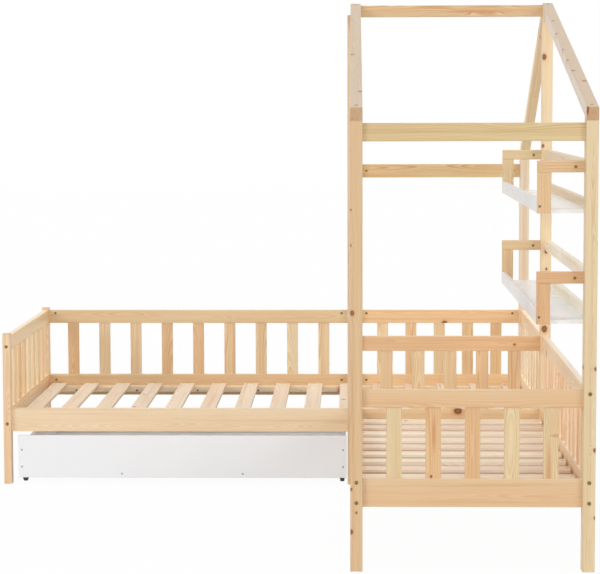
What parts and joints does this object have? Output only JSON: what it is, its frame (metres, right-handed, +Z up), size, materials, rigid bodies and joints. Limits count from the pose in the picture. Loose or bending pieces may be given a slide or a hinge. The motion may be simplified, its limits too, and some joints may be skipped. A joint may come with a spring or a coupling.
{
  "type": "l-shaped house bed",
  "caption": "L-shaped pine house bed: a long and a short slatted bed joined at a corner, with fences, a house frame with shelves, and a white drawer that rolls out from under the long bed.",
  "frame": {"origin": "centre of the bounding box's underside, on the floor", "axes": "+X along the long bed towards the shelves, +Y from the short bed's foot end to the back fence, +Z up"},
  "size_m": [2.08, 2.526, 1.8187],
  "materials": {
    "pine_posts": "clear satin lacquer on pine",
    "pine_rails": "clear satin lacquer on pine",
    "pine_roof": "clear satin lacquer on pine",
    "pine_base": "raw sawn pine",
    "white_board": "white semi-gloss coated board",
    "bolt_brass": "dark antique brass",
    "steel": "zinc plated",
    "wheel_plastic": "dark moulded plastic"
  },
  "bodies": {
    "frame": {"post_front_left": "pine_posts", "post_front_right": "pine_posts", "post_corner_left": "pine_posts", "post_corner_right": "pine_posts", "post_back_left": "pine_posts", "post_back_right": "pine_posts", "leg_front": "pine_posts", "leg_back": "pine_posts", "rafter_front_left": "pine_roof", "rafter_front_right": "pine_roof", "rafter_back_left": "pine_roof", "rafter_back_right": "pine_roof", "ridge_beam": "pine_rails", "eave_rail_front": "pine_rails", "eave_rail_back": "pine_rails", "foot_fence_rails": "pine_rails", "foot_fence_slats": "pine_rails", "middle_fence_rails": "pine_rails", "middle_fence_slats": "pine_rails", "back_left_fence_rails": "pine_rails", "back_left_fence_slats": "pine_rails", "back_right_fence_rails": "pine_rails", "back_right_fence_slats": "pine_rails", "left_fence_rails": "pine_rails", "left_fence_slats": "pine_rails", "right_fence_rails": "pine_rails", "right_fence_slats": "pine_rails", "right_back_fence_rails": "pine_rails", "right_back_fence_slats": "pine_rails", "long_bed_rail": "pine_rails", "short_bed_rail": "pine_rails", "long_bed_ledgers": "pine_base", "short_bed_ledgers": "pine_base", "long_bed_slats": "pine_base", "short_bed_slats": "pine_base", "upper_shelf_brackets": "pine_rails", "upper_shelf_board": "white_board", "upper_shelf_lip": "white_board", "upper_shelf_rails": "pine_rails", "lower_shelf_brackets": "pine_rails", "lower_shelf_board": "white_board", "lower_shelf_lip": "white_board", "lower_shelf_rails": "pine_rails", "connecting_bolts": "bolt_brass", "barrel_nuts": "bolt_brass", "roof_screws": "bolt_brass", "wood_screws": "steel", "shelf_dowels": "pine_rails"},
    "drawer": {"drawer_front": "white_board", "drawer_sides": "white_board", "drawer_back": "white_board", "drawer_bottom": "white_board", "drawer_bearers": "pine_rails", "drawer_screws": "steel", "wheel_brackets": "steel", "wheel_axles": "steel"},
    "wheel_front_left": {"wheel_front_left": "wheel_plastic"},
    "wheel_front_right": {"wheel_front_right": "wheel_plastic"},
    "wheel_back_left": {"wheel_back_left": "wheel_plastic"},
    "wheel_back_right": {"wheel_back_right": "wheel_plastic"}
  },
  "joints": [
    {"name": "drawer_slide", "type": "slide", "parent": "frame", "child": "drawer", "axis": [0, -1, 0], "range_m": [0, 0.75]},
    {"name": "wheel_front_left_roll", "type": "hinge", "parent": "drawer", "child": "wheel_front_left", "pos_m": [-0.9675, 0.282, 0.02], "axis": [1, 0, 0], "continuous": true},
    {"name": "wheel_front_right_roll", "type": "hinge", "parent": "drawer", "child": "wheel_front_right", "pos_m": [0.2525, 0.282, 0.02], "axis": [1, 0, 0], "continuous": true},
    {"name": "wheel_back_left_roll", "type": "hinge", "parent": "drawer", "child": "wheel_back_left", "pos_m": [-0.9675, 1.054, 0.02], "axis": [1, 0, 0], "continuous": true},
    {"name": "wheel_back_right_roll", "type": "hinge", "parent": "drawer", "child": "wheel_back_right", "pos_m": [0.2525, 1.054, 0.02], "axis": [1, 0, 0], "continuous": true}
  ],
  "couplings": [
    {"joint": "wheel_front_left_roll", "follows": "drawer_slide", "rad_per_m": 50},
    {"joint": "wheel_front_right_roll", "follows": "drawer_slide", "rad_per_m": 50},
    {"joint": "wheel_back_left_roll", "follows": "drawer_slide", "rad_per_m": 50},
    {"joint": "wheel_back_right_roll", "follows": "drawer_slide", "rad_per_m": 50}
  ]
}
